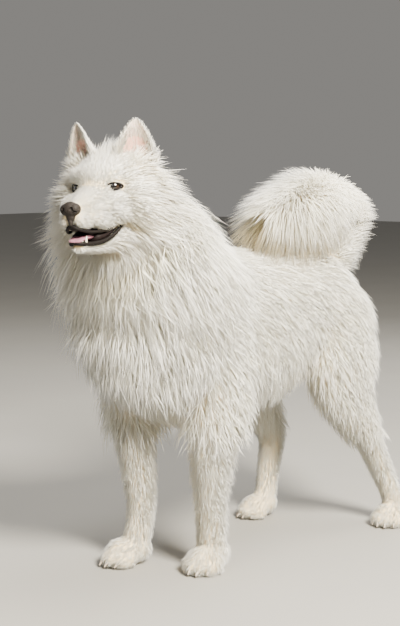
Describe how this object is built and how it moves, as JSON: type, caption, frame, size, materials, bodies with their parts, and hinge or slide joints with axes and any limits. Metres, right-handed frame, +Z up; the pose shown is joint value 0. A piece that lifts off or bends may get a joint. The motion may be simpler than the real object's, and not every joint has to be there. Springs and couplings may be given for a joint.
{
  "type": "samoyed dog model",
  "caption": "Still, life-size model of a standing white samoyed with a thick ruff, open mouth and tail curled over the back.",
  "frame": {"origin": "on the floor, below the middle of the box round the whole dog", "axes": "+Y from the head to the tail, +X to the dog's left, +Z up"},
  "size_m": [0.3642, 0.9362, 0.8092],
  "materials": {
    "coat": "long, off-white double coat with cream shading",
    "ear": "short white fur, pinkish tan inside the cup",
    "nose_leather": "black, finely pebbled, slightly moist",
    "eye": "dark brown, wet gloss",
    "tongue": "pink, moist"
  },
  "bodies": {
    "root": {"head": "coat", "lower_jaw": "coat", "tongue": "tongue", "nose": "nose_leather", "eye_left": "eye", "eye_right": "eye", "ear_left": "ear", "ear_right": "ear", "neck": "coat", "torso": "coat", "foreleg_left": "coat", "foreleg_right": "coat", "forepaw_left": "coat", "forepaw_right": "coat", "thigh_left": "coat", "thigh_right": "coat", "hock_left": "coat", "hock_right": "coat", "hindpaw_left": "coat", "hindpaw_right": "coat", "tail_root": "coat", "tail_plume": "coat"}
  },
  "joints": []
}
